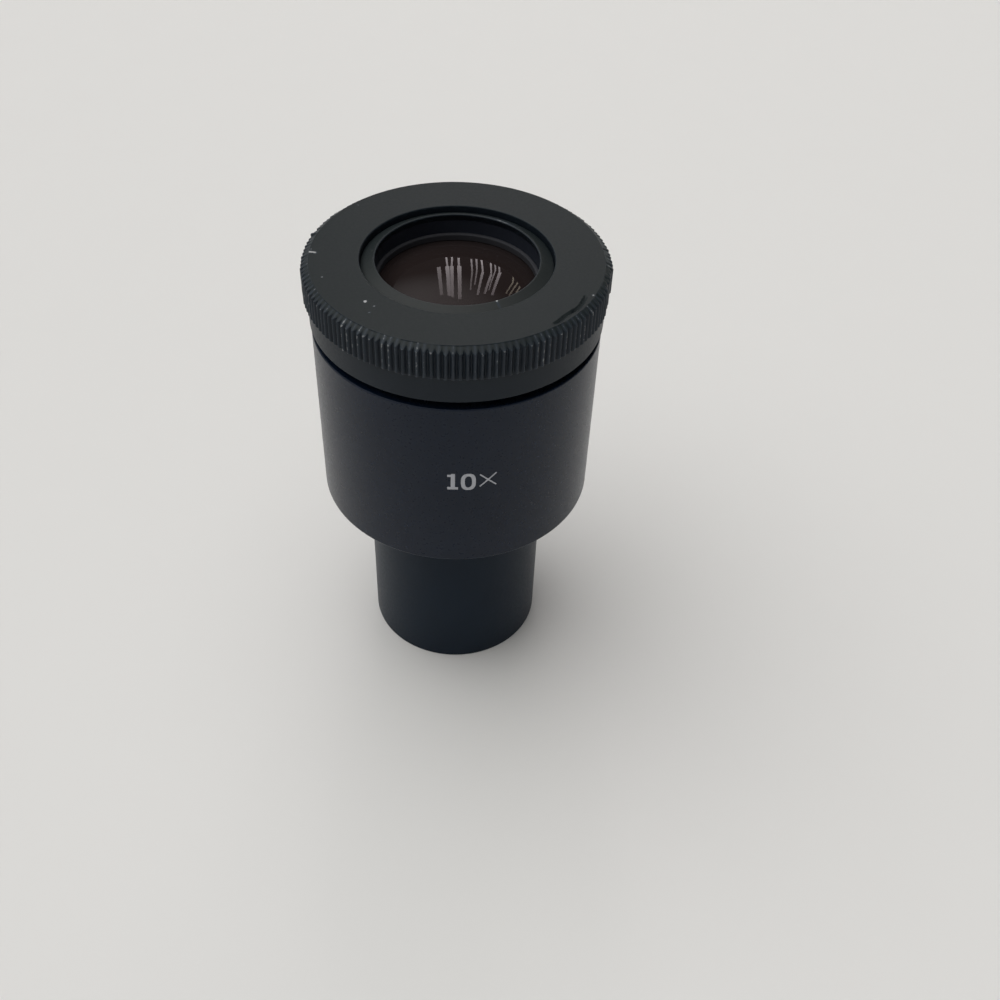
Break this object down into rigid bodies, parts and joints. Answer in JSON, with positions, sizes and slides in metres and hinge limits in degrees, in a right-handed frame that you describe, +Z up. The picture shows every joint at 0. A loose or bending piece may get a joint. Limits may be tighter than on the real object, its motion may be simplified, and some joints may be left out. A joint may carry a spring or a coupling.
{
  "type": "eyepiece",
  "caption": "Black wide-field eyepiece with a plain insertion tube, a wider body and a knurled ring on top that turns to slide the keyed lens cell for focus.",
  "frame": {"origin": "centre of the insertion tube's lower end face", "axes": "+Z up along the optical axis, towards the eye; the side that the picture shows faces -Y"},
  "size_m": [0.0362, 0.0362, 0.0591],
  "materials": {
    "black_anodised": "satin black anodising",
    "matt_black": "matt black",
    "key_brass": "machined",
    "screw_steel": "machined",
    "washer_plastic": "smooth",
    "crown_glass": "polished, with a faint pink coating",
    "flint_glass": "polished"
  },
  "bodies": {
    "barrel": {"body_sleeve": "black_anodised", "insertion_tube": "black_anodised", "helicoid_collar": "black_anodised", "guide_keys": "key_brass", "guide_key_screws": "screw_steel", "field_stop": "matt_black", "field_stop_clamp": "matt_black"},
    "lens_carrier": {"lens_cell": "black_anodised", "capture_ring": "black_anodised", "upper_thrust_washer": "washer_plastic", "lower_thrust_washer": "washer_plastic", "eye_lens_retainer": "matt_black", "eye_lens_crown": "crown_glass", "eye_lens_flint": "flint_glass", "middle_lens": "crown_glass", "lens_spacer": "matt_black", "field_lens_crown": "crown_glass", "field_lens_flint": "flint_glass", "field_lens_retainer": "matt_black"},
    "turning_ring": {"focus_ring": "black_anodised"}
  },
  "joints": [
    {"name": "cell_slide", "type": "slide", "parent": "barrel", "child": "lens_carrier", "axis": [0, 0, 1], "range_m": [-0.0009, 0.00235]},
    {"name": "ring_turn", "type": "hinge", "parent": "lens_carrier", "child": "turning_ring", "pos_m": [0, 0, 0.0567], "axis": [0, 0, 1], "range_deg": [-72, 188]}
  ],
  "couplings": [
    {"joint": "ring_turn", "follows": "cell_slide", "rad_per_m": 1396.3}
  ]
}
